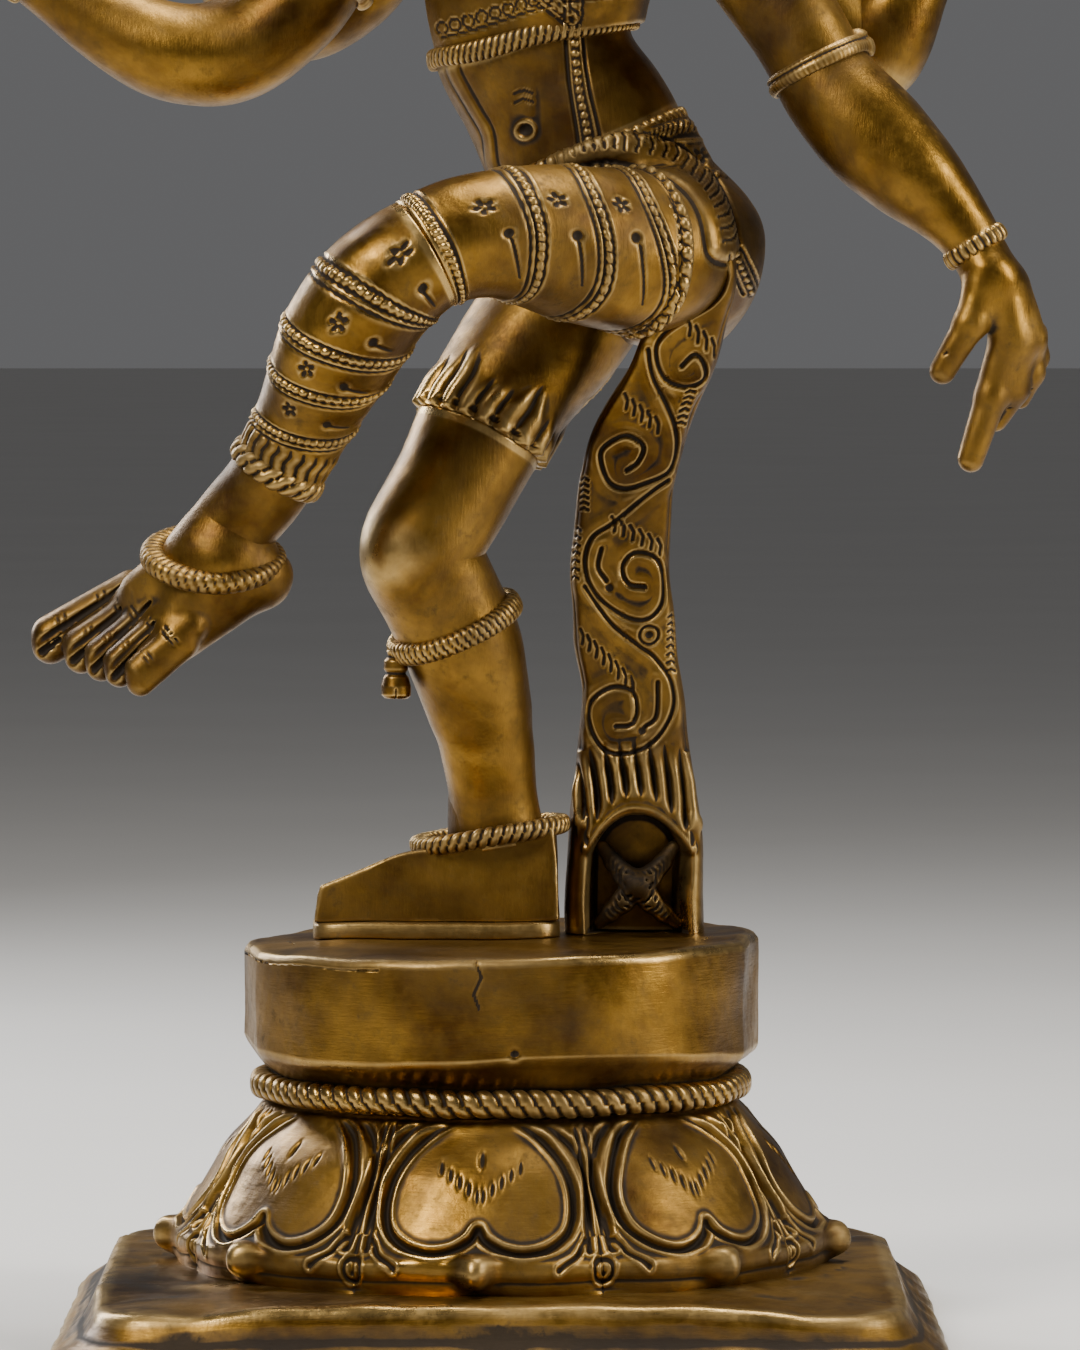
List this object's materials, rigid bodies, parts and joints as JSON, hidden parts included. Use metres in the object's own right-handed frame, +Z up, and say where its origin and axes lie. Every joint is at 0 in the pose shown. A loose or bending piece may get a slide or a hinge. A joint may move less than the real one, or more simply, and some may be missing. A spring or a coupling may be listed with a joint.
{
  "type": "dancing figure statue",
  "caption": "Cast brass four-armed dancing figure on a lotus pedestal, one leg raised across the body and a carved sash down to the drum.",
  "frame": {"origin": "on the pedestal's vertical axis, in the plane of the base plate's underside rim", "axes": "+Z up along the figure; +X and +Y along the base plate's sides; the standing toes point to -X and the figure's chest faces between -X and -Y"},
  "size_m": [0.4103, 0.3296, 0.7547],
  "materials": {
    "pedestal_brass": "aged polished brass with dark patina in the cuts",
    "figure_brass": "aged polished brass, brushed",
    "garment_brass": "aged polished brass with chased bead bands",
    "sash_brass": "aged brass with engraved vine",
    "ornament_brass": "worn bright brass over dark patina",
    "fixing_steel": "plain turned steel"
  },
  "bodies": {
    "root": {"base_plate": "pedestal_brass", "lotus_bell": "pedestal_brass", "rope_ring": "pedestal_brass", "drum": "pedestal_brass", "foot_washer": "fixing_steel", "foot_nut": "fixing_steel", "sash_washer": "fixing_steel", "sash_nut": "fixing_steel", "foot_slab": "pedestal_brass", "standing_foot": "figure_brass", "standing_anklet": "ornament_brass", "standing_shin": "figure_brass", "knee_band": "ornament_brass", "knee_pendant": "ornament_brass", "standing_knee": "figure_brass", "standing_thigh": "garment_brass", "raised_thigh": "garment_brass", "raised_shin": "garment_brass", "cuff_ring": "ornament_brass", "raised_ankle": "figure_brass", "raised_anklet": "ornament_brass", "raised_foot": "figure_brass", "pelvis": "garment_brass", "sash": "sash_brass", "sash_tassels": "sash_brass", "hip_belt": "ornament_brass", "abdomen": "figure_brass", "belly_band": "ornament_brass", "chest": "figure_brass", "necklace": "ornament_brass", "head": "figure_brass", "crown": "ornament_brass", "earring_right": "ornament_brass", "earring_left": "ornament_brass", "front_left_upper_arm": "figure_brass", "front_left_armlet": "ornament_brass", "front_left_forearm": "figure_brass", "front_left_bracelet": "ornament_brass", "front_left_hand": "figure_brass", "rear_left_upper_arm": "figure_brass", "rear_left_armlet": "ornament_brass", "rear_left_forearm": "figure_brass", "rear_left_bracelet": "ornament_brass", "rear_left_hand": "figure_brass", "front_right_upper_arm": "figure_brass", "front_right_armlet": "ornament_brass", "front_right_forearm": "figure_brass", "front_right_bracelet": "ornament_brass", "front_right_hand": "figure_brass", "rear_right_upper_arm": "figure_brass", "rear_right_armlet": "ornament_brass", "rear_right_forearm": "figure_brass", "rear_right_bracelet": "ornament_brass", "rear_right_hand": "figure_brass", "flame": "ornament_brass", "hand_drum": "ornament_brass"}
  },
  "joints": []
}
